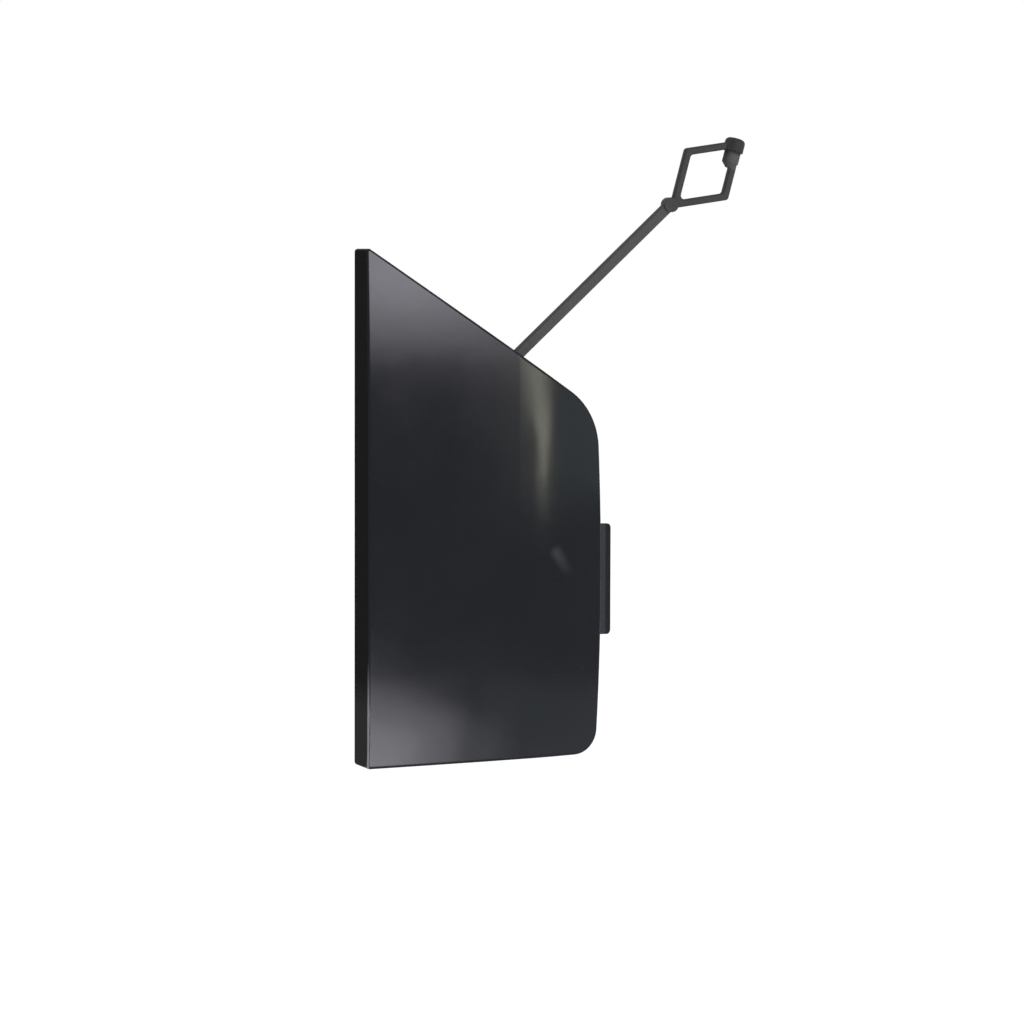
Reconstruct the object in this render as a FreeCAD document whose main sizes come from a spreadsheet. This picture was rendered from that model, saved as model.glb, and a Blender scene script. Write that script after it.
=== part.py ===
import FreeCAD, Part

import math
import os

import Sketcher
from FreeCAD import Placement, Rotation, Vector

# A cover for the towing eye socket in a car's bumper, moulded in one piece in black plastic.
# A crowned panel with a sloping top edge closes the opening. Behind it a shallow wall runs all round
# and ends in a flat rim, which sits on a ledge of the bumper. A tongue at the right edge goes into a
# slot, two snap hooks near the left edge lock behind the ledge, and a tether with a diamond eye keeps
# the loose cover on the car.
#
# Frame, in millimetres: the panel faces -Y, +Z is up, and +X is to the right as one looks at the panel.
# The origin is the middle of the tongue's root, on the tongue's front face. The rim is in the plane of
# the tongue's rear face.

NODE = "tow_hook_cover"

SIZES = [
    # outline of the panel, seen from the front
    ("panel_width", 53.5, "left edge to the farthest point of the right edge"),
    ("left_edge_height", 109.8, "length of the straight left edge"),
    ("tongue_height", 38.4, "bottom edge to the middle of the tongue"),
    ("top_slope", 33.7, "degrees by which the top edge falls to the right"),
    ("bottom_slope", 1.35, "degrees by which the bottom edge rises to the right"),
    ("right_edge_radius", 700, "bow of the right edge"),
    ("upper_corner_radius", 15, "corner between top edge and right edge"),
    ("lower_corner_radius", 5.5, "corner between right edge and bottom edge"),
    ("left_corner_radius", 0.7, "both corners of the left edge"),
    # depth and crown of the panel
    ("panel_depth", 10, "foremost point of the panel to the rim"),
    ("skin_thickness", 2.5, "thickness of the panel itself"),
    ("wall_thickness", 2, "thickness of the wall behind the panel's edge"),
    ("crown_radius", 1200, "curve of the panel from bottom to top"),
    ("crown_height", 45, "bottom edge to the foremost level of the crown"),
    ("face_radius", 550, "curve of the panel from left to right, on the left part"),
    ("bend_start", 34, "left edge to where the tighter bend begins"),
    ("bend_radius", 90, "curve of the panel from left to right, on the right part"),
    ("edge_rounding", 0.5, "rounding round the panel's front"),
    ("trim_allowance", 3, "stock beyond the crown on each side, cut off by it"),
    # tongue at the right edge
    ("tongue_length", 3.9, "reach of the tongue beyond the right edge"),
    ("tongue_width", 23.8, "size of the tongue along the edge"),
    ("tongue_thickness", 2, "thickness of the tongue"),
    ("tongue_corner_radius", 1, "outer corners of the tongue"),
    ("tongue_lead", 1.4, "slope at the front of the tongue's outer end"),
    # snap hooks near the left edge
    ("hook_inset", 6.5, "left edge to the outer side of a hook"),
    ("hook_height", 18, "bottom edge to the middle of the lower hook"),
    ("hook_spacing", 50, "lower hook to upper hook"),
    ("hook_width", 9, "size of a hook along the left edge"),
    ("hook_root", 2.2, "thickness of a hook at the panel"),
    ("hook_tip", 1.6, "thickness of a hook at its end"),
    ("ledge_thickness", 3, "ledge of the bumper between the rim and the catch of a hook"),
    ("catch_overhang", 1.7, "reach of the catch beyond the outer side of the hook"),
    ("catch_land", 0.7, "straight end of the catch"),
    ("nose_length", 3.8, "catch to the end of the hook"),
    ("nose_set_in", 0.4, "outer side of the hook to the outer corner of its end"),
    ("gusset_thickness", 1.6, "web that backs a hook"),
    ("gusset_length", 6, "reach of the web along the panel"),
    ("gusset_drop", 1.5, "rim to the top of the web"),
    # ribs on the rear of the panel
    ("rib_thickness", 1.3, "all ribs"),
    ("rib_drop", 2.8, "rim to the top of the ribs"),
    ("spine_inset", 27, "left edge to the upright rib"),
    ("short_rib_drop", 28, "top left corner to the short rib"),
    # tether
    ("tether_position", 42.5, "top left corner to the tether, along the top edge"),
    ("tether_angle", 42.85, "degrees between the tether and the horizontal"),
    ("strap_length", 47.9, "top edge to the middle of the collar"),
    ("strap_width", 2.4, "strap seen from the front"),
    ("strap_thickness", 1.8, "strap and bars of the eye, front to rear"),
    ("strap_rounding", 0.5, "long edges of the strap and of the bars"),
    ("collar_diameter", 3.2, "collar where the strap meets the eye"),
    ("collar_thickness", 2.6, "collar, front to rear"),
    ("eye_offset", 0.8, "middle of the collar to the near corner of the eye, along the eye"),
    ("eye_shift", 0.6, "middle of the collar to the long middle line of the eye, down to the right"),
    ("eye_tilt", 1.1, "degrees by which the eye turns down from the strap"),
    ("eye_length", 19.7, "diamond eye, corner to corner along the tether"),
    ("eye_width", 12.9, "diamond eye, corner to corner across the tether"),
    ("bar_width", 1.6, "bars of the eye"),
    ("eye_corner_radius", 0.8, "corners of the eye, inside and outside"),
    # knob at the far corner of the eye, along one bar
    ("knob_shift", 0.7, "middle of the bar to the middle of the knob, towards the eye"),
    ("cap_diameter", 4.4, "cap of the knob"),
    ("cap_reach", 1, "far corner of the eye to the end of the cap"),
    ("cap_length", 2.9, "length of the cap"),
    ("cap_rounding", 1, "outer end of the cap"),
    ("barrel_diameter", 3.6, "body of the knob"),
    ("barrel_length", 2.5, "length of the body"),
    ("taper_length", 1.1, "cone from the body down to the bar"),
]

# Places that follow from the sizes, in the frame of the part
LEFT = "(-dims.panel_width)"
BOTTOM = "(-dims.tongue_height)"
TOP_LEFT = "(dims.left_edge_height - dims.tongue_height)"
SLOPE = "(dims.top_slope * 1 deg)"
RISE = "(dims.bottom_slope * 1 deg)"
RIM = "(dims.tongue_thickness)"
FOREMOST = "(dims.tongue_thickness - dims.panel_depth)"
STOCK = "(dims.panel_depth + dims.trim_allowance)"
STOCK_FRONT = "(dims.tongue_thickness - dims.panel_depth - dims.trim_allowance)"
CROWN_LEVEL = "(dims.crown_height - dims.tongue_height)"

HOOK_SIDE = "(dims.hook_inset - dims.panel_width)"
HOOK_LEVEL = "(dims.hook_height - dims.tongue_height)"
CATCH = "(dims.tongue_thickness + dims.ledge_thickness)"

TETHER_TURN = "(dims.tether_angle * 1 deg)"
TETHER_PLANE = "(dims.strap_thickness / 2)"
ROOT_X = f"({LEFT} + dims.tether_position * cos({SLOPE}))"
ROOT_Z = f"({TOP_LEFT} - dims.tether_position * sin({SLOPE}))"
COLLAR_X = f"({ROOT_X} + dims.strap_length * cos({TETHER_TURN}))"
COLLAR_Z = f"({ROOT_Z} + dims.strap_length * sin({TETHER_TURN}))"
EYE_TURN = "((dims.tether_angle - dims.eye_tilt) * 1 deg)"
EYE_MIDDLE = "(dims.eye_offset + dims.eye_length / 2)"
EYE_SIDES = "sqrt(dims.eye_length ^ 2 + dims.eye_width ^ 2)"
EYE_GROWTH = f"(dims.bar_width * {EYE_SIDES} / dims.eye_length / dims.eye_width)"
EYE_X = f"({COLLAR_X} + dims.eye_shift * sin({EYE_TURN}))"
EYE_Z = f"({COLLAR_Z} - dims.eye_shift * cos({EYE_TURN}))"
FAR_X = f"({EYE_X} + (dims.eye_offset + dims.eye_length) * cos({EYE_TURN}))"
FAR_Z = f"({EYE_Z} + (dims.eye_offset + dims.eye_length) * sin({EYE_TURN}))"
KNOB_TURN = f"({EYE_TURN} + atan(dims.eye_width / dims.eye_length))"
KNOB_X = f"({FAR_X} - dims.knob_shift * sin({KNOB_TURN}))"
KNOB_Z = f"({FAR_Z} + dims.knob_shift * cos({KNOB_TURN}))"

# Numbers by which a sketch knows its own axes and the points of a curve
AXIS = {name: -index for index, name in enumerate(("across", "up"), start=1)}
POINT = {name: index for index, name in enumerate(("start", "end", "centre"), start=1)}
ORIGIN = (AXIS["across"], POINT["start"])
NEGLIGIBLE = 1e-6

doc = FreeCAD.newDocument("hook_cover")


def make_sheet():
    """The driving dimensions, one row each."""
    rows = doc.addObject("Spreadsheet::Sheet", "dims")
    for row, (alias, value, meaning) in enumerate(SIZES, start=1):
        rows.set(f"A{row}", alias)
        rows.set(f"B{row}", str(value))
        rows.setAlias(f"B{row}", alias)
        rows.set(f"C{row}", meaning)
    doc.recompute()
    return rows


sheet = make_sheet()
body = doc.addObject("PartDesign::Body", "cover")
body.Label = NODE
body.Placement = Placement()


def number(size):
    """The value of an expression in the sheet's sizes. An angle comes in degrees."""
    found = sheet.evalExpression(size)
    return float(getattr(found, "Value", found))


def origin_feature(role):
    return next(item for item in body.Origin.OriginFeatures if item.Role == role)


def new_sketch(name, role, offset, turn="0 deg", turn_axis=Vector(0, 0, 1)):
    """A sketch parallel to an origin plane, moved along and turned about the plane's own axes."""
    sketch = body.newObject("Sketcher::SketchObject", name)
    sketch.AttachmentSupport = [(origin_feature(role), "")]
    sketch.MapMode = "FlatFace"
    base = Vector(*map(number, offset))
    sketch.AttachmentOffset = Placement(base, Rotation(turn_axis, number(turn)))
    for axis, size in zip("xyz", offset):
        sketch.setExpression(f"AttachmentOffset.Base.{axis}", size)
    sketch.setExpression("AttachmentOffset.Rotation.Angle", turn)
    sketch.Visibility = False
    return sketch


def front_sketch(name, depth, across="0", up="0", turn="0 deg"):
    """A sketch seen from the front: it lies at Y = depth and its own axes are X and Z."""
    return new_sketch(name, "XZ_Plane", (across, up, f"-({depth})"), turn)


def level_sketch(name, level):
    """A sketch seen from above: it lies at Z = level and its own axes are X and Y."""
    return new_sketch(name, "XY_Plane", ("0", "0", level))


def hold(sketch, kind, *refs, size):
    """A dimension bound to the sheet."""
    value = number(size)
    if kind == "Angle":
        value = math.radians(value)
    index = sketch.addConstraint(Sketcher.Constraint(kind, *refs, value))
    sketch.setExpression(f"Constraints[{index}]", size)


def hold_point(sketch, point, x=None, y=None):
    """Holds a point at x and at y, measured from the sketch's origin."""
    for kind, size, axis in (("DistanceX", x, AXIS["up"]), ("DistanceY", y, AXIS["across"])):
        if size is None:
            continue
        if abs(number(size)) < NEGLIGIBLE:
            sketch.addConstraint(Sketcher.Constraint("PointOnObject", *point, axis))
        else:
            hold(sketch, kind, *ORIGIN, *point, size=size)


def join(sketch, kind, one, other):
    """Joins the end of one curve to the start of another."""
    sketch.addConstraint(Sketcher.Constraint(kind, one, POINT["end"], other, POINT["start"]))


def circle_arc(centre, radius, start, end):
    """An arc that runs anticlockwise between two angles in degrees."""
    circle = Part.Circle(centre, Vector(0, 0, 1), radius)
    return Part.ArcOfCircle(circle, math.radians(start), math.radians(end))


def polygon(sketch, points):
    """A closed outline through points, each a pair of sizes."""
    corners = [Vector(number(x), number(y), 0) for x, y in points]
    count = len(points)
    first = sketch.GeometryCount
    for i in range(count):
        sketch.addGeometry(Part.LineSegment(corners[i], corners[(i + 1) % count]), False)
    for i in range(count):
        join(sketch, "Coincident", first + i, first + (i + 1) % count)
        hold_point(sketch, (first + i, POINT["start"]), *points[i])


def rectangle(sketch, x_low, x_high, y_low, y_high):
    polygon(sketch, [(x_low, y_low), (x_high, y_low), (x_high, y_high), (x_low, y_high)])


def rounded_rectangle(sketch, width, height, radius):
    """A rectangle with round corners, centred on the sketch's origin."""
    sides = [(1, 1), (-1, 1), (-1, -1), (1, -1)]
    reach = Vector(number(width) / 2, number(height) / 2, 0)
    corner = number(radius)
    arcs = []
    for quarter, (right, up) in enumerate(sides):
        centre = Vector(right * (reach.x - corner), up * (reach.y - corner), 0)
        arcs.append(circle_arc(centre, corner, 90 * quarter, 90 * quarter + 90))
    lines = [Part.LineSegment(arcs[i].EndPoint, arcs[(i + 1) % 4].StartPoint) for i in range(4)]
    sketch.addGeometry(arcs + lines, False)
    for i, (right, up) in enumerate(sides):
        join(sketch, "Tangent", i, 4 + i)
        join(sketch, "Tangent", 4 + i, (i + 1) % 4)
        hold_point(sketch, (i, POINT["centre"]), f"{right} * (({width}) / 2 - {radius})",
                   f"{up} * (({height}) / 2 - {radius})")
        hold(sketch, "Radius", i, size=radius)


def finish(feature):
    """Makes a feature the body's tip and rebuilds the document."""
    body.Tip = feature
    doc.recompute()
    return feature


def pad(name, sketch, length, symmetric=False):
    feature = body.newObject("PartDesign::Pad", name)
    feature.Profile = sketch
    feature.setExpression("Length", length)
    feature.SideType = "Symmetric" if symmetric else "One side"
    return finish(feature)


def edge_names(shape, wanted):
    return [f"Edge{i}" for i, edge in enumerate(shape.Edges, start=1) if wanted(edge)]


def round_edges(name, wanted, radius):
    """Rounds every edge that passes a test."""
    base = body.Tip
    names = edge_names(base.Shape, wanted)
    feature = body.newObject("PartDesign::Fillet", name)
    feature.Base = (base, names)
    feature.setExpression("Radius", radius)
    return finish(feature)


def draw_outline(sketch, inset):
    """The panel's outline moved inward: left edge, bottom edge, bowed right edge, sloping top edge."""
    shift = number(inset)
    slope = number(SLOPE)
    rise = number(RISE)
    width = number("dims.panel_width")
    bow = number("dims.right_edge_radius")
    upper = number("dims.upper_corner_radius")
    lower = number("dims.lower_corner_radius")
    peak_level = f"{TOP_LEFT} - ({inset}) * (1 + sin({SLOPE})) / cos({SLOPE})"
    base_level = f"{BOTTOM} + ({inset}) * (1 + sin({RISE})) / cos({RISE})"
    peak = Vector(number(LEFT) + shift, number(peak_level), 0)
    base = Vector(number(LEFT) + shift, number(base_level), 0)

    # the corner arcs start where they would touch a straight right edge
    down = (width - upper) * math.tan(math.radians(slope)) + upper / math.cos(math.radians(slope))
    up = (width - lower) * math.tan(math.radians(rise)) + lower / math.cos(math.radians(rise))
    upper_centre = Vector(-upper, number(TOP_LEFT) - down, 0)
    lower_centre = Vector(-lower, number(BOTTOM) + up, 0)
    outward = Rotation(Vector(0, 0, 1), 90 - slope).multVec(Vector(1, 0, 0))
    downward = Rotation(Vector(0, 0, 1), rise - 90).multVec(Vector(1, 0, 0))
    high = math.degrees(upper_centre.y / bow)
    low = math.degrees(lower_centre.y / bow)

    first = sketch.GeometryCount
    left_edge, bottom_edge, lower_arc, right_edge, upper_arc, top_edge = range(first, first + 6)
    sketch.addGeometry([
        Part.LineSegment(peak, base),
        Part.LineSegment(base, lower_centre + downward * (lower - shift)),
        circle_arc(lower_centre, lower - shift, rise - 90, low),
        circle_arc(Vector(-bow, 0, 0), bow - shift, low, high),
        circle_arc(upper_centre, upper - shift, high, 90 - slope),
        Part.LineSegment(upper_centre + outward * (upper - shift), peak),
    ], False)

    join(sketch, "Coincident", left_edge, bottom_edge)
    join(sketch, "Tangent", bottom_edge, lower_arc)
    join(sketch, "Tangent", lower_arc, right_edge)
    join(sketch, "Tangent", right_edge, upper_arc)
    join(sketch, "Tangent", upper_arc, top_edge)
    join(sketch, "Coincident", top_edge, left_edge)
    sketch.addConstraint(Sketcher.Constraint("Vertical", left_edge))
    hold_point(sketch, (left_edge, POINT["start"]), f"{LEFT} + {inset}", peak_level)
    hold_point(sketch, (left_edge, POINT["end"]), y=base_level)
    hold_point(sketch, (right_edge, POINT["centre"]), "-dims.right_edge_radius", "0")
    hold(sketch, "Radius", right_edge, size=f"dims.right_edge_radius - {inset}")
    hold(sketch, "Radius", upper_arc, size=f"dims.upper_corner_radius - {inset}")
    hold(sketch, "Radius", lower_arc, size=f"dims.lower_corner_radius - {inset}")
    hold(sketch, "Angle", top_edge, size="180 - dims.top_slope")
    hold(sketch, "Angle", bottom_edge, size="dims.bottom_slope")


def crown_groove(name, depth, limit):
    """Cuts all that lies between the panel's curved face, moved back by depth, and Y = limit. The
    section is drawn at the foremost level and turns about an axis far behind the panel."""
    face = number("dims.face_radius")
    bend = number("dims.bend_radius")
    shift = number(depth)
    face_centre = Vector(number(LEFT), number(FOREMOST) + face, 0)
    turn = math.asin(number("dims.bend_start") / face)
    bend_centre = face_centre + Vector(math.sin(turn), -math.cos(turn), 0) * (face - bend)
    left_end = f"{LEFT} - dims.trim_allowance"
    right_end = "dims.trim_allowance"
    left_turn = math.asin((number(left_end) - face_centre.x) / (face - shift))
    right_turn = math.asin((number(right_end) - bend_centre.x) / (bend - shift))
    left_point = face_centre + Vector(math.sin(left_turn), -math.cos(left_turn), 0) * (face - shift)
    right_point = bend_centre + Vector(math.sin(right_turn), -math.cos(right_turn), 0) * (bend - shift)
    left_limit = Vector(left_point.x, number(limit), 0)
    right_limit = Vector(right_point.x, number(limit), 0)
    middle = math.degrees(turn) - 90

    sketch = level_sketch(f"{name}_sketch", CROWN_LEVEL)
    face_arc, bend_arc, right_side, far_side, left_side, axis = range(6)
    sketch.addGeometry([
        circle_arc(face_centre, face - shift, math.degrees(left_turn) - 90, middle),
        circle_arc(bend_centre, bend - shift, middle, math.degrees(right_turn) - 90),
        Part.LineSegment(right_point, right_limit),
        Part.LineSegment(right_limit, left_limit),
        Part.LineSegment(left_limit, left_point),
    ], False)
    axis_level = f"{FOREMOST} + dims.crown_radius"
    axis_start = Vector(number(LEFT), number(axis_level), 0)
    sketch.addGeometry(Part.LineSegment(axis_start, Vector(0, axis_start.y, 0)), True)

    join(sketch, "Tangent", face_arc, bend_arc)
    join(sketch, "Coincident", bend_arc, right_side)
    join(sketch, "Coincident", right_side, far_side)
    join(sketch, "Coincident", far_side, left_side)
    join(sketch, "Coincident", left_side, face_arc)
    sketch.addConstraint(Sketcher.Constraint("Vertical", right_side))
    sketch.addConstraint(Sketcher.Constraint("Horizontal", far_side))
    sketch.addConstraint(Sketcher.Constraint("Vertical", left_side))
    sketch.addConstraint(Sketcher.Constraint("Horizontal", axis))
    hold_point(sketch, (face_arc, POINT["centre"]), LEFT, f"{FOREMOST} + dims.face_radius")
    hold_point(sketch, (bend_arc, POINT["centre"]),
               f"{LEFT} + (dims.face_radius - dims.bend_radius) * dims.bend_start / dims.face_radius")
    hold(sketch, "Radius", face_arc, size=f"dims.face_radius - {depth}")
    hold(sketch, "Radius", bend_arc, size=f"dims.bend_radius - {depth}")
    hold_point(sketch, (face_arc, POINT["start"]), left_end)
    hold_point(sketch, (bend_arc, POINT["end"]), right_end)
    hold_point(sketch, (far_side, POINT["start"]), y=limit)
    hold_point(sketch, (axis, POINT["start"]), LEFT, axis_level)
    hold_point(sketch, (axis, POINT["end"]), "0")

    groove = body.newObject("PartDesign::Groove", name)
    groove.Profile = sketch
    groove.ReferenceAxis = (sketch, ["Axis0"])
    groove.Midplane = True
    groove.setExpression("Angle", "2 * atan(dims.left_edge_height / dims.crown_radius)")
    return finish(groove)


# Panel: a plate with the full outline, hollowed from the rear down to the skin
plate_sketch = front_sketch("plate_sketch", RIM)
draw_outline(plate_sketch, "0")
pad("plate", plate_sketch, STOCK)
crown_groove("hollow", "dims.skin_thickness", f"{RIM} + dims.trim_allowance")

# Wall all round, from the rim forward
wall_sketch = front_sketch("wall_sketch", RIM)
draw_outline(wall_sketch, "0")
draw_outline(wall_sketch, "dims.wall_thickness")
pad("wall", wall_sketch, STOCK)

# Ribs: one upright, two across behind the ends of the tongue, and a short one in the upper corner
WALL_MIDDLE = "dims.wall_thickness / 2"
HALF_RIB = "dims.rib_thickness / 2"
SPINE = f"({LEFT} + dims.spine_inset)"
SPINE_TOP = (f"{TOP_LEFT} - dims.spine_inset * tan({SLOPE})"
             f" - {WALL_MIDDLE} / cos({SLOPE})")
SPINE_FOOT = (f"{BOTTOM} + dims.spine_inset * tan({RISE})"
              f" + {WALL_MIDDLE} / cos({RISE})")
TONGUE_RIB = "(dims.tongue_width / 2 - dims.rib_thickness)"
SHORT_RIB = f"({TOP_LEFT} - dims.short_rib_drop)"

spine_sketch = front_sketch("spine_sketch", f"{RIM} - dims.rib_drop")
rectangle(spine_sketch, f"{SPINE} - {HALF_RIB}", f"{SPINE} + {HALF_RIB}",
          SPINE_FOOT, SPINE_TOP)
pad("spine", spine_sketch, f"{STOCK} - dims.rib_drop")

cross_sketch = front_sketch("cross_sketch", f"{RIM} - dims.rib_drop")
for level, right_end in ((TONGUE_RIB, f"-{WALL_MIDDLE}"), (f"-{TONGUE_RIB}", f"-{WALL_MIDDLE}"),
                         (SHORT_RIB, SPINE)):
    rectangle(cross_sketch, f"{LEFT} + {WALL_MIDDLE}", right_end,
              f"{level} - {HALF_RIB}", f"{level} + {HALF_RIB}")
pad("cross_ribs", cross_sketch, f"{STOCK} - dims.rib_drop")

# Snap hooks: the catch faces forward, and the end slopes so that the hook rides over the ledge
hook_sketch = level_sketch("hook_sketch", HOOK_LEVEL)
polygon(hook_sketch, [
    (HOOK_SIDE, STOCK_FRONT),
    (f"{HOOK_SIDE} + dims.hook_root", STOCK_FRONT),
    (f"{HOOK_SIDE} + dims.hook_root", f"{FOREMOST} + dims.skin_thickness"),
    (f"{HOOK_SIDE} + dims.hook_tip", f"{CATCH} + dims.nose_length"),
    (f"{HOOK_SIDE} + dims.nose_set_in", f"{CATCH} + dims.nose_length"),
    (f"{HOOK_SIDE} - dims.catch_overhang", f"{CATCH} + dims.catch_land"),
    (f"{HOOK_SIDE} - dims.catch_overhang", CATCH),
    (HOOK_SIDE, CATCH),
])
hook = pad("hook", hook_sketch, "dims.hook_width", symmetric=True)

GUSSET_START = f"{HOOK_SIDE} + dims.hook_tip / 2"
GUSSET_END = f"{HOOK_SIDE} + dims.hook_root + dims.gusset_length"
gusset_sketch = level_sketch("gusset_sketch", HOOK_LEVEL)
polygon(gusset_sketch, [
    (GUSSET_START, STOCK_FRONT),
    (GUSSET_END, STOCK_FRONT),
    (GUSSET_END, f"{FOREMOST} + dims.skin_thickness"),
    (f"{HOOK_SIDE} + dims.hook_root", f"{RIM} - dims.gusset_drop"),
    (GUSSET_START, f"{RIM} - dims.gusset_drop"),
])
gusset = pad("gusset", gusset_sketch, "dims.gusset_thickness", symmetric=True)

hook_pair = body.newObject("PartDesign::LinearPattern", "hook_pair")
hook_pair.Originals = [hook, gusset]
hook_pair.Direction = (origin_feature("Z_Axis"), [""])
hook_pair.Occurrences = 2
hook_pair.setExpression("Length", "dims.hook_spacing")
finish(hook_pair)

# Front of the panel: the crown trims the plate, the wall and all that stands on the skin
crown_groove("crown", "0", f"{STOCK_FRONT} - dims.trim_allowance")


def is_left_corner(edge):
    box = edge.BoundBox
    return box.XMax < number(LEFT) + NEGLIGIBLE and box.ZLength < NEGLIGIBLE


def is_front_face(face):
    middle = face.CenterOfMass
    return middle.y < 0 and face.normalAt(*face.Surface.parameter(middle)).y < -0.8


def is_front_edge(edge):
    """True for the edges round the panel's front, which bound one of its curved faces only."""
    return sum(edge.isSame(other) for other in front_edges) == 1


round_edges("left_corners", is_left_corner, "dims.left_corner_radius")
front_faces = [face for face in body.Tip.Shape.Faces if is_front_face(face)]
front_edges = [edge for face in front_faces for edge in face.Edges]
round_edges("front_rounding", is_front_edge, "dims.edge_rounding")

# Tongue at the right edge, with a lead at the front of its outer end
tongue_sketch = level_sketch("tongue_sketch", "0")
polygon(tongue_sketch, [
    (f"-{WALL_MIDDLE}", "0"),
    ("dims.tongue_length - dims.tongue_lead", "0"),
    ("dims.tongue_length", "dims.tongue_lead"),
    ("dims.tongue_length", RIM),
    (f"-{WALL_MIDDLE}", RIM),
])
pad("tongue", tongue_sketch, "dims.tongue_width", symmetric=True)


def is_tongue_corner(edge):
    box = edge.BoundBox
    return box.XMin > number("dims.tongue_length") - NEGLIGIBLE and box.ZLength < NEGLIGIBLE


round_edges("tongue_corners", is_tongue_corner, "dims.tongue_corner_radius")

# Tether: strap, collar and diamond eye
STRAP_SINK = "(dims.wall_thickness / 2)"
strap_sketch = new_sketch("strap_sketch", "YZ_Plane",
                          (TETHER_PLANE, f"{ROOT_Z} - {STRAP_SINK} * sin({TETHER_TURN})",
                           f"{ROOT_X} - {STRAP_SINK} * cos({TETHER_TURN})"),
                          f"-{TETHER_TURN}", Vector(1, 0, 0))
rounded_rectangle(strap_sketch, "dims.strap_thickness", "dims.strap_width", "dims.strap_rounding")
pad("strap", strap_sketch, f"dims.strap_length + {STRAP_SINK}")


def along_tether(edge):
    """How far the middle of an edge lies beyond the middle of the collar, along the tether."""
    offset = edge.CenterOfMass - Vector(number(COLLAR_X), 0, number(COLLAR_Z))
    turn = math.radians(number(TETHER_TURN))
    return offset.x * math.cos(turn) + offset.z * math.sin(turn)


def across_tether(edge):
    offset = edge.CenterOfMass - Vector(number(COLLAR_X), 0, number(COLLAR_Z))
    turn = math.radians(number(TETHER_TURN))
    return offset.z * math.cos(turn) - offset.x * math.sin(turn)


collar_sketch = front_sketch("collar_sketch", TETHER_PLANE, COLLAR_X, COLLAR_Z, TETHER_TURN)
ring = Part.Circle(Vector(), Vector(0, 0, 1), number("dims.collar_diameter / 2"))
collar_sketch.addGeometry(ring, False)
collar_sketch.addConstraint(Sketcher.Constraint("Coincident", 0, POINT["centre"], *ORIGIN))
hold(collar_sketch, "Diameter", 0, size="dims.collar_diameter")
pad("collar", collar_sketch, "dims.collar_thickness", symmetric=True)

eye_sketch = front_sketch("eye_sketch", TETHER_PLANE, EYE_X, EYE_Z, EYE_TURN)
for scale in (f"(1 + {EYE_GROWTH})", f"(1 - {EYE_GROWTH})"):
    polygon(eye_sketch, [
        (f"{EYE_MIDDLE} - dims.eye_length / 2 * {scale}", "0"),
        (EYE_MIDDLE, f"-dims.eye_width / 2 * {scale}"),
        (f"{EYE_MIDDLE} + dims.eye_length / 2 * {scale}", "0"),
        (EYE_MIDDLE, f"dims.eye_width / 2 * {scale}"),
    ])
pad("eye", eye_sketch, "dims.strap_thickness", symmetric=True)


def is_eye_corner(edge):
    """The eye's corners, without those where it leaves the collar."""
    box = edge.BoundBox
    reach = number("dims.collar_diameter / 2")
    clear = math.hypot(along_tether(edge), across_tether(edge)) > reach + NEGLIGIBLE
    return box.XLength < NEGLIGIBLE and box.ZLength < NEGLIGIBLE and along_tether(edge) > 0 and clear


def is_bar_edge(edge):
    """Edges of the eye's front and rear faces, without those that it shares with the collar."""
    on_collar = getattr(edge.Curve, "Radius", 0) > number("dims.eye_corner_radius") + NEGLIGIBLE
    return edge.BoundBox.YLength < NEGLIGIBLE and along_tether(edge) > 0 and not on_collar


round_edges("eye_corners", is_eye_corner, "dims.eye_corner_radius")
round_edges("bar_rounding", is_bar_edge, "dims.strap_rounding")

# Knob: a turned shape at the far end of one bar, set a little towards the eye
CAP_END = "dims.cap_reach"
CAP_START = "(dims.cap_reach - dims.cap_length)"
BARREL_START = "(dims.cap_reach - dims.cap_length - dims.barrel_length)"
TAPER_START = "(dims.cap_reach - dims.cap_length - dims.barrel_length - dims.taper_length)"
knob_sketch = front_sketch("knob_sketch", TETHER_PLANE, KNOB_X, KNOB_Z, KNOB_TURN)
polygon(knob_sketch, [
    (TAPER_START, "0"),
    (CAP_END, "0"),
    (CAP_END, "dims.cap_diameter / 2"),
    (CAP_START, "dims.cap_diameter / 2"),
    (CAP_START, "dims.barrel_diameter / 2"),
    (BARREL_START, "dims.barrel_diameter / 2"),
    (TAPER_START, "dims.bar_width / 2"),
])
knob = body.newObject("PartDesign::Revolution", "knob")
knob.Profile = knob_sketch
knob.ReferenceAxis = (knob_sketch, ["H_Axis"])
knob.Angle = 360
finish(knob)


def is_cap_end(edge):
    """The round edge of the cap that lies farthest along the knob."""
    radius = getattr(edge.Curve, "Radius", 0)
    offset = edge.CenterOfMass - Vector(number(KNOB_X), 0, number(KNOB_Z))
    turn = math.radians(number(KNOB_TURN))
    along = offset.x * math.cos(turn) + offset.z * math.sin(turn)
    return (abs(radius - number("dims.cap_diameter / 2")) < NEGLIGIBLE
            and abs(along - number(CAP_END)) < NEGLIGIBLE)


round_edges("cap_rounding", is_cap_end, "dims.cap_rounding")

# Every object must have rebuilt without a fault before the part is written
for item in doc.Objects:
    faults = [word for word in item.State if word in ("Invalid", "Error")]
    if faults:
        raise RuntimeError(f"{item.Label} did not rebuild: {faults}")
    if hasattr(item, "Shape") and item.TypeId.startswith("PartDesign::"):
        if item.Shape.isNull() or not item.Shape.isValid():
            raise RuntimeError(f"{item.Label} has no valid shape")
if len(body.Shape.Solids) != 1:
    raise RuntimeError(f"{NODE} must be one solid")

os.makedirs("parts", exist_ok=True)
body.Shape.exportStep(f"parts/{NODE}.step")
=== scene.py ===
import math
from types import SimpleNamespace

import bmesh
import bpy
from mathutils import Matrix, Vector


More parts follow.
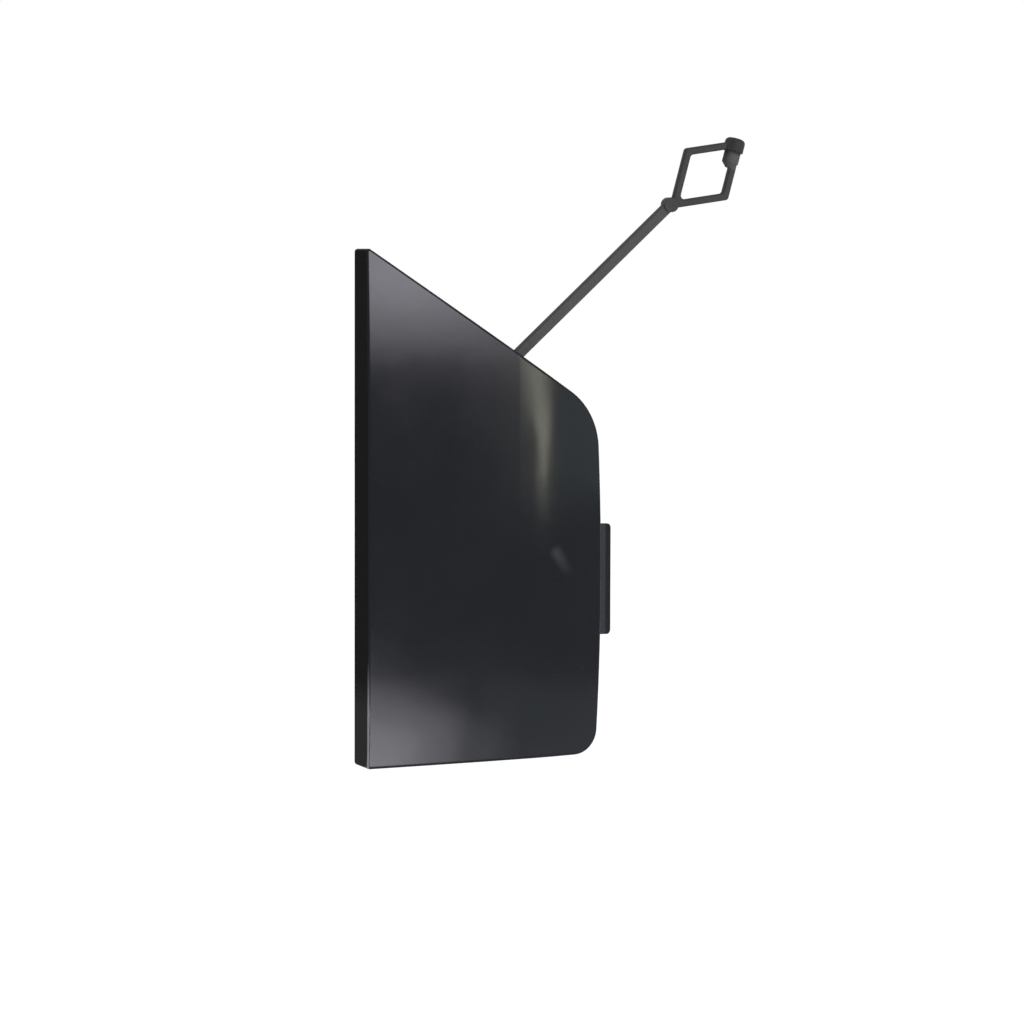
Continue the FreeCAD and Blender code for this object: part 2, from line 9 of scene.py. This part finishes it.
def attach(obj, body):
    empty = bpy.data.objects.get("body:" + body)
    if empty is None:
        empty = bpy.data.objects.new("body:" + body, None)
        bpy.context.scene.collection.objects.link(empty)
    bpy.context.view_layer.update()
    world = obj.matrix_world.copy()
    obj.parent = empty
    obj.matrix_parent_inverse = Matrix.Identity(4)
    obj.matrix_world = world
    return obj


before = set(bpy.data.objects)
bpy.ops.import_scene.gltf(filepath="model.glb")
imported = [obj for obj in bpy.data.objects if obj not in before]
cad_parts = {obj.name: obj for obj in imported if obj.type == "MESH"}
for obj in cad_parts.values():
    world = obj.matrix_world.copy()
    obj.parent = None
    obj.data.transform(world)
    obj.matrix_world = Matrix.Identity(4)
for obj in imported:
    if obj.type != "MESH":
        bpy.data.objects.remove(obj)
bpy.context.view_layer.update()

# Lengths are in metres and in the CAD frame: X to the right, Z up, and the face looks towards -Y.
MM = 0.001
LEFT = (-1, 0, 0)
FRONT = (0, -1, 0)

# the slanted top edge: its outward direction and its distance from the origin
SLOPE_OUT = (0.5548, 0.0, 0.8320)
SLOPE_DISTANCE = 29.72 * MM
# the tether: its direction, how far along it the collar is, and the Y of its middle plane
TETHER_ALONG = (0.7331, 0.0, 0.6801)
COLLAR_ALONG = 67.12 * MM
TETHER_PLANE = 0.9 * MM
# the middles of the knob's two parts
KNOB_CAP = (32.3 * MM, 0, 93.2 * MM)
KNOB_BARREL = (31.4 * MM, 0, 90.0 * MM)
# the small sink on the face with a painted highlight on it, slanted down to the right
RUB_MARK = (-10.0 * MM, 0, 4.8 * MM)
RUB_DOWN = (0.555, 0, -0.832)
RUB_ACROSS = (0.832, 0, 0.555)

# specular level of each finish
FACE_LEVEL = 0.172
WALL_LEVEL = 0.08
# the left wall reflects far less than the other walls, a painted shade
LEFT_WALL_LEVEL = 0.004
TETHER_LEVEL = 0.20
# the tongue's outer end reflects less, a painted shade
TONGUE_END_LEVEL = 0.06

# Marks of moulding on the rear. Profiles are radius and height from the middle out, in mm, and
# places are X and Z in mm. The rays that find the surface there start behind it, at Y = BEHIND.
LATHE_STEPS = 48
PIN_RING_PROFILE = [(0, 0.03), (1.7, 0.03), (1.85, 0.14), (2.05, 0.14), (2.3, -0.08)]
GATE_END_PROFILE = [(0, 0.32), (0.30, 0.36), (0.42, 0.30), (0.55, -0.10)]
PINS = [
    (-33, -30), (-33, 32), (-33, 0), (-18, -28), (-18, 0),
    (-18, 28), (-46, 38), (-46, -1), (-46, -31), (-48, 49),
]
GATE = (-26.5, -20)
BEHIND = 30

# the floor, and how bright the surroundings are for the rays that light the cover
FLOOR_REACH = 6.0
FLOOR_LEVEL = -0.30
FLOOR_GLOW = 0.62
STUDIO_GLOW = 0.55

# camera, fitted to the photograph's outline
LENS = 149.2
SENSOR_WIDTH = 36
CAMERA_PLACE = (-0.31117, -0.85524, 0.0703)
CAMERA_RIGHT = Vector((0.94637, -0.32308, 0.00252))
CAMERA_UP = Vector((0.01743, 0.05882, 0.99812))

# Soft boxes, placed by direction as seen from AIM: name, azimuths and elevations in degrees,
# distance, glow, colour and tilt in degrees. Those that overlap stand at different distances,
# because one would hide the other in the same plane.
AIM = Vector((-0.027, -0.008, 0.020))
UPPER_TINT = (0.94, 0.91, 1.0)
LOWER_TINT = (0.94, 0.93, 1.0)
WARM_TINT = (1.0, 1.0, 0.80)
LAMPS = [
    ("upper_soft_box", (14.7, 27.7), (3.8, 24), 1.5, 8.3, UPPER_TINT, 0),
    ("upper_soft_box_core", (14.7, 27.7), (5.5, 24), 1.4, 7.6, UPPER_TINT, 0),
    ("lower_soft_box", (6.7, 24.5), (-21, -12.3), 0.6, 2.3, LOWER_TINT, -14),
    ("lower_soft_box_middle", (6.7, 21.4), (-21, -12.0), 0.58, 4.9, LOWER_TINT, -14),
    ("lower_soft_box_core", (6.7, 18.2), (-21, -14.0), 0.56, 6.4, LOWER_TINT, -14),
    ("low_card", (24, 60), (-21, -12), 0.6, 0.9, (0.85, 1.0, 1.0), 0),
    ("warm_strip", (29.7, 33.3), (-2.4, 7.3), 1.5, 9.5, WARM_TINT, 53),
    ("warm_strip_foot", (31.2, 34.6), (-2.0, -1.1), 1.45, 6.0, WARM_TINT, 0),
    ("dim_card", (25, 38), (-2.5, 9), 1.4, 1.0, (1.0, 1.0, 0.85), 0),
    ("side_card", (38, 62), (-2.4, 9), 1.5, 1.2, (0.75, 1.0, 0.92), 0),
]


class Nodes:
    """Empties one node tree, then adds nodes to it and links them in one call each."""

    def __init__(self, tree):
        self.tree = tree
        tree.nodes.clear()

    def put(self, socket, value):
        if isinstance(value, bpy.types.NodeSocket):
            self.tree.links.new(value, socket)
        else:
            socket.default_value = value

    def add(self, kind, inputs=None, **settings):
        node = self.tree.nodes.new(kind)
        for name, value in settings.items():
            setattr(node, name, value)
        for name, value in (inputs or {}).items():
            self.put(node.inputs[name], value)
        return node

    def math(self, operation, first, second=0.0):
        return self.add("ShaderNodeMath", {0: first, 1: second}, operation=operation).outputs[0]

    def plus(self, first, second):
        return self.math("ADD", first, second)

    def minus(self, first, second):
        return self.math("SUBTRACT", first, second)

    def times(self, first, *others):
        for other in others:
            first = self.math("MULTIPLY", first, other)
        return first

    def vector(self, operation, first, second=(0, 0, 0), output=0):
        node = self.add("ShaderNodeVectorMath", {0: first, 1: second}, operation=operation)
        return node.outputs[output]

    def dot(self, first, second):
        return self.vector("DOT_PRODUCT", first, second, "Value")

    def stretch(self, vector, factors):
        return self.vector("MULTIPLY", vector, factors)

    def ramp(self, value, low, high, low_value=0.0, high_value=1.0):
        """Eases from one value to the other between low and high, also where low is the greater."""
        inputs = {
            "Value": value,
            "From Min": low,
            "From Max": high,
            "To Min": low_value,
            "To Max": high_value,
        }
        node = self.add("ShaderNodeMapRange", inputs, interpolation_type="SMOOTHSTEP")
        return node.outputs["Result"]

    def mix(self, share, first, second, data_type="FLOAT", socket_type="VALUE"):
        """The first value at share 0 and the second at share 1."""
        node = self.add("ShaderNodeMix", {"Factor": share}, data_type=data_type)
        for place, value in (("A", first), ("B", second)):
            sockets = (s for s in node.inputs if s.name == place and s.type == socket_type)
            self.put(next(sockets), value)
        return next(s for s in node.outputs if s.type == socket_type)

    def blend(self, share, first, second):
        """The same for colours, which are sockets or red, green and blue."""
        opaque = [c if isinstance(c, bpy.types.NodeSocket) else (*c, 1) for c in (first, second)]
        return self.mix(share, *opaque, "RGBA", "RGBA")

    def noise(self, vector, size, detail=2.0, roughness=0.5):
        inputs = {"Vector": vector, "Scale": 1 / size, "Detail": detail, "Roughness": roughness}
        return self.add("ShaderNodeTexNoise", inputs).outputs[0]

    def spot(self, place, centre, radius, soft):
        """1 within the radius of a point, seen from the front, fading to 0."""
        flat = self.stretch(self.vector("SUBTRACT", place, centre), (1, 0, 1))
        away = self.vector("LENGTH", flat, output="Value")
        return self.ramp(away, radius, radius + soft, 1.0, 0.0)


def finish_places(n):
    """Where on the cover each finish is, as shares from 0 to 1, with the inputs they come from."""
    at = SimpleNamespace()
    at.place = n.add("ShaderNodeTexCoord").outputs["Object"]
    geometry = n.add("ShaderNodeNewGeometry")
    at.normal = geometry.outputs["Normal"]
    split = n.add("ShaderNodeSeparateXYZ", {0: at.place})
    at.x, at.y, at.z = (split.outputs[axis] for axis in "XYZ")
    at.leftward = n.dot(geometry.outputs["True Normal"], LEFT)

    above_slope = n.minus(n.dot(at.place, SLOPE_OUT), SLOPE_DISTANCE)
    at.tether = n.ramp(above_slope, 0.1 * MM, 0.5 * MM)
    at.tongue = n.ramp(at.x, -0.3 * MM, 0.2 * MM)
    at.off_panel = n.math("MAXIMUM", at.tether, at.tongue)
    # the outer end of the tongue, painted dark as the shade of its edge
    at.tongue_end = n.times(n.ramp(at.x, 1.9 * MM, 2.7 * MM), n.minus(1.0, at.tether))

    forward = n.ramp(n.dot(geometry.outputs["True Normal"], FRONT), 0.30, 0.75)
    before_rim = n.ramp(at.y, -0.6 * MM, 0.4 * MM, 1.0, 0.0)
    at.face = n.times(forward, before_rim, n.minus(1.0, at.off_panel))

    outermost = n.ramp(at.x, -53.3 * MM, -53.1 * MM, 1.0, 0.0)
    at.left_wall = n.times(n.ramp(at.leftward, 0.6, 0.9), outermost)
    # the lower part of the left wall, where light from below on the left is painted in
    at.left_foot = n.ramp(at.z, -18 * MM, -28 * MM)

    along = n.dot(at.place, TETHER_ALONG)
    at.eye = n.times(at.tether, n.ramp(along, COLLAR_ALONG - 3 * MM, COLLAR_ALONG))
    at.barrel = n.spot(at.place, KNOB_BARREL, 1.4 * MM, 0.9 * MM)
    at.cap = n.spot(at.place, KNOB_CAP, 1.9 * MM, 0.4 * MM)
    return at


def surface_marks(n, at):
    """Wear, faults and painted highlights of the surface, as shares from 0 to 1 or as noise about
    0.5.
    """
    marks = SimpleNamespace()

    # rounded edges, rubbed a little lighter
    marks.soft_normal = n.add("ShaderNodeBevel", {"Radius": 0.35 * MM}, samples=6).outputs[0]
    bend = n.minus(1.0, n.dot(marks.soft_normal, at.normal))
    uneven = n.noise(at.place, 1.1 * MM, 5.0, 0.65)
    marks.rubbed = n.times(n.ramp(bend, 0.01, 0.22), n.ramp(uneven, 0.38, 0.72))

    # the lower part of the edge between the face and the left wall, painted light as a highlight
    marks.worn_edge = n.times(
        n.ramp(at.leftward, 0.15, 0.3),
        n.ramp(at.leftward, 0.97, 0.9),
        n.ramp(at.x, -52.6 * MM, -52.9 * MM),
        n.ramp(at.y, -4.5 * MM, -5.5 * MM),
        n.ramp(at.z, -14 * MM, -28 * MM),
    )

    # specks and upright scuffs, moulded grain, orange peel and flow of the plastic
    marks.cloud = n.noise(at.place, 14 * MM, 3.0)
    marks.speck = n.ramp(n.noise(at.place, 0.35 * MM, 1.0), 0.73, 0.80)
    scuffs = n.ramp(n.noise(n.stretch(at.place, (1, 1, 0.035)), 0.16 * MM, 2.0), 0.70, 0.80)
    marks.scuffed = n.times(scuffs, n.ramp(n.noise(at.place, 9 * MM, 2.0), 0.50, 0.72))
    marks.grain = n.noise(at.place, 0.16 * MM, 3.0, 0.6)
    marks.peel = n.noise(at.place, 2.6 * MM, 2.0)
    marks.flow = n.noise(n.stretch(at.place, (1, 1, 0.22)), 7 * MM, 3.0)

    # raised parting line along the middle of the tether, where the halves of the mould met
    off_plane = n.math("ABSOLUTE", n.minus(at.y, TETHER_PLANE))
    marks.parting_line = n.times(at.tether, n.ramp(off_plane, 0.04 * MM, 0.12 * MM, 1.0, 0.0))

    # a small sink in the face, dented by the bump and painted lighter as a highlight
    from_rub = n.vector("SUBTRACT", at.place, RUB_MARK)
    down = n.dot(from_rub, RUB_DOWN)
    across = n.math("ABSOLUTE", n.dot(from_rub, RUB_ACROSS))
    marks.rub = n.times(
        n.ramp(down, -3.8 * MM, -1.8 * MM),
        n.ramp(down, -2.4 * MM, 5.2 * MM, 1.0, 0.0),
        n.ramp(across, 0.0, 2.0 * MM, 1.0, 0.0),
        at.face,
    )
    return marks


def plastic_colour(n, at, marks):
    """The wall's colour, over it that of each finish with its painted light and shade, and over
    those the wear and the painted highlights.
    """
    wall = n.blend(marks.cloud, (0.0075, 0.0078, 0.0085), (0.0125, 0.0128, 0.0135))
    left_wall = n.blend(marks.cloud, (0.0085, 0.0085, 0.0088), (0.0118, 0.0118, 0.0121))
    # painted light: the left wall lighter towards its foot
    left_wall = n.blend(at.left_foot, left_wall, (0.036, 0.036, 0.0365))
    tether = n.blend(marks.flow, (0.048, 0.048, 0.0485), (0.068, 0.068, 0.0685))
    eye = n.blend(marks.flow, (0.028, 0.0281, 0.0287), (0.042, 0.042, 0.0427))
    tether = n.blend(at.eye, tether, eye)
    tether = n.blend(at.barrel, tether, (0.074, 0.074, 0.075))
    tether = n.blend(at.cap, tether, (0.023, 0.023, 0.0235))
    tongue = n.blend(marks.cloud, (0.016, 0.020, 0.024), (0.023, 0.027, 0.031))
    # painted shade: the tongue's outer end darker
    tongue = n.blend(at.tongue_end, tongue, (0.004, 0.005, 0.006))
    face = n.blend(marks.cloud, (0.0022, 0.0030, 0.0058), (0.0032, 0.0040, 0.0076))

    layers = [
        (at.left_wall, left_wall),
        (at.tongue, tongue),
        (at.tether, tether),
        (at.face, face),
        (n.times(marks.speck, 0.35), (0.045, 0.046, 0.048)),
        # painted highlight on the sink in the face
        (marks.rub, (0.027, 0.031, 0.031)),
        (n.times(marks.rubbed, 0.55), (0.055, 0.057, 0.060)),
        # painted highlight along the lower left edge
        (marks.worn_edge, (0.26, 0.26, 0.265)),
    ]
    colour = wall
    for share, layer in layers:
        colour = n.blend(share, colour, layer)
    return colour


def plastic_roughness(n, at, marks):
    face = n.plus(n.ramp(marks.cloud, 0.3, 0.7, 0.09, 0.12), n.times(marks.scuffed, 0.18))
    matt = n.ramp(marks.grain, 0.3, 0.7, 0.52, 0.68)
    return n.plus(n.mix(at.face, matt, face), n.times(marks.rubbed, 0.12))


def plastic_level(n, at):
    wall = n.mix(at.left_wall, WALL_LEVEL, LEFT_WALL_LEVEL)
    off_panel = n.mix(at.tongue_end, TETHER_LEVEL, TONGUE_END_LEVEL)
    return n.mix(at.face, n.mix(at.off_panel, wall, off_panel), FACE_LEVEL)


def plastic_bumps(n, at, marks):
    """Orange peel, scuffs and the sink on the face, moulded grain elsewhere, with heights in mm."""
    face = n.minus(n.times(marks.peel, 0.0016), n.times(marks.rub, 0.020))
    face = n.minus(face, n.times(marks.scuffed, 0.0008))
    matt = n.plus(n.times(marks.grain, 0.035), n.times(marks.flow, 0.05))
    matt = n.plus(matt, n.times(marks.parting_line, 0.06))
    inputs = {
        "Strength": 1.0,
        "Distance": MM,
        "Height": n.mix(at.face, matt, face),
        "Normal": marks.soft_normal,
    }
    return n.add("ShaderNodeBump", inputs).outputs[0]


def moulded_plastic():
    """Black plastic: a polished face, matt walls and back, and a greyer matt tongue and tether."""
    material = bpy.data.materials.new("moulded_black_plastic")
    material.use_nodes = True
    n = Nodes(material.node_tree)
    at = finish_places(n)
    marks = surface_marks(n, at)
    inputs = {
        "Base Color": plastic_colour(n, at, marks),
        "Roughness": plastic_roughness(n, at, marks),
        "Specular IOR Level": plastic_level(n, at),
        "Normal": plastic_bumps(n, at, marks),
    }
    shader = n.add("ShaderNodeBsdfPrincipled", inputs)
    n.add("ShaderNodeOutputMaterial", {"Surface": shader.outputs[0]})
    return material


def lathe(name, profile):
    """A turned mesh about its own Z, from a profile whose first point is on the axis."""
    shape = bmesh.new()
    angles = [2 * math.pi * i / LATHE_STEPS for i in range(LATHE_STEPS)]
    loops = []
    for radius, height in ((r * MM, h * MM) for r, h in profile):
        if radius == 0:
            corners = [(0, 0, height)]
        else:
            corners = [(radius * math.cos(a), radius * math.sin(a), height) for a in angles]
        loops.append([shape.verts.new(corner) for corner in corners])
    for inner, outer in zip(loops, loops[1:]):
        for i in range(LATHE_STEPS):
            j = (i + 1) % LATHE_STEPS
            if len(inner) == 1:
                face = shape.faces.new((inner[0], outer[i], outer[j]))
            else:
                face = shape.faces.new((inner[i], outer[i], outer[j], inner[j]))
            face.smooth = True
    mesh = bpy.data.meshes.new(name)
    shape.to_mesh(mesh)
    shape.free()
    mesh.materials.append(plastic)
    return mesh


def set_on_rear(shape, name, across, up):
    """Puts a copy of a mesh on the rear of the cover, square to the surface there.

    The copy keeps its origin at the cover's, so the plastic's finishes fall in the right places
    on it.
    """
    start = Vector((across, BEHIND, up)) * MM
    hit, where, out, _ = cover.ray_cast(start, Vector(FRONT))
    if not hit:
        raise RuntimeError(f"{name} found nothing to sit on")
    mesh = shape.copy()
    mesh.name = name
    mesh.transform(Matrix.Translation(where) @ out.to_track_quat("Z", "Y").to_matrix().to_4x4())
    piece = bpy.data.objects.new(name, mesh)
    bpy.context.scene.collection.objects.link(piece)
    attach(piece, "root")


def white_rays(n):
    """1 for the rays that see the background: from the camera, a reflection or through glass."""
    path = n.add("ShaderNodeLightPath")
    seen = n.math("MAXIMUM", path.outputs["Is Camera Ray"], path.outputs["Is Glossy Ray"])
    return n.math("MAXIMUM", seen, path.outputs["Is Transmission Ray"])


def pale_floor():
    """A wide plain floor well below the cover, which a fitting would hold up."""
    mesh = bpy.data.meshes.new("floor")
    signs = [(-1, -1), (1, -1), (1, 1), (-1, 1)]
    corners = [(i * FLOOR_REACH, j * FLOOR_REACH, FLOOR_LEVEL) for i, j in signs]
    mesh.from_pydata(corners, [], [(0, 1, 2, 3)])
    floor = bpy.data.objects.new("floor", mesh)
    bpy.context.scene.collection.objects.link(floor)
    material = bpy.data.materials.new("pale_floor")
    material.use_nodes = True
    n = Nodes(material.node_tree)
    place = n.add("ShaderNodeTexCoord").outputs["Object"]
    inputs = {
        "Base Color": n.blend(n.noise(place, 0.25, 3.0), (0.78, 0.78, 0.78), (0.82, 0.82, 0.82)),
        "Roughness": 0.9,
        "Specular IOR Level": 0.0,
        "Emission Color": (1, 1, 1, 1),
        "Emission Strength": n.times(white_rays(n), FLOOR_GLOW),
    }
    shader = n.add("ShaderNodeBsdfPrincipled", inputs)
    n.add("ShaderNodeOutputMaterial", {"Surface": shader.outputs[0]})
    mesh.materials.append(material)


def surroundings():
    """White where it is seen or reflected, and a plain soft light on everything."""
    world = bpy.data.worlds.new("studio")
    bpy.context.scene.world = world
    world.use_nodes = True
    n = Nodes(world.node_tree)
    inputs = {"Color": (1, 1, 1, 1), "Strength": n.mix(white_rays(n), STUDIO_GLOW, 1.0)}
    shade = n.add("ShaderNodeBackground", inputs)
    n.add("ShaderNodeOutputWorld", {"Surface": shade.outputs[0]})


def soft_box(name, azimuths, elevations, distance, glow, colour, tilt):
    """An area lamp that fills a range of directions, the azimuth turned to the cover's right."""
    low, high = (math.tan(math.radians(e)) for e in elevations)
    width = 2 * distance * math.tan(math.radians((azimuths[1] - azimuths[0]) / 2))
    height = distance * (high - low)
    azimuth = math.radians(sum(azimuths) / 2)
    ahead = Vector((math.sin(azimuth), -math.cos(azimuth), 0)) * distance
    data = bpy.data.lights.new(name, "AREA")
    data.shape = "RECTANGLE"
    data.size, data.size_y = width, height
    data.color = colour
    data.energy = glow * width * height * math.pi
    lamp = bpy.data.objects.new(name, data)
    bpy.context.scene.collection.objects.link(lamp)
    lamp.location = AIM + ahead + Vector((0, 0, distance * (low + high) / 2))
    lamp.rotation_euler = ahead.to_track_quat("Z", "Y").to_euler()
    lamp.rotation_euler.rotate_axis("Z", math.radians(tilt))
    lamp.visible_camera = False


def photo_camera():
    data = bpy.data.cameras.new("photo_view")
    data.lens = LENS
    data.sensor_width = SENSOR_WIDTH
    data.clip_start = 0.01
    data.clip_end = 50
    camera = bpy.data.objects.new("photo_view", data)
    bpy.context.scene.collection.objects.link(camera)
    axes = Matrix((CAMERA_RIGHT, CAMERA_UP, CAMERA_RIGHT.cross(CAMERA_UP)))
    camera.matrix_world = Matrix.Translation(CAMERA_PLACE) @ axes.transposed().to_4x4()
    bpy.context.scene.camera = camera


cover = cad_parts["tow_hook_cover"]
plastic = moulded_plastic()
for slot in cover.material_slots:
    slot.material = plastic

# shallow rings that the ejector pins left on the rear of the panel, and the gate's trimmed end
pin_ring = lathe("pin_ring", PIN_RING_PROFILE)
gate_end = lathe("gate_end", GATE_END_PROFILE)
for number, pin in enumerate(PINS, start=1):
    set_on_rear(pin_ring, f"pin_ring_{number}", *pin)
set_on_rear(gate_end, "gate_end_1", *GATE)

photo_camera()
surroundings()
pale_floor()
for lamp in LAMPS:
    soft_box(*lamp)

bpy.context.scene.view_settings.view_transform = "Standard"
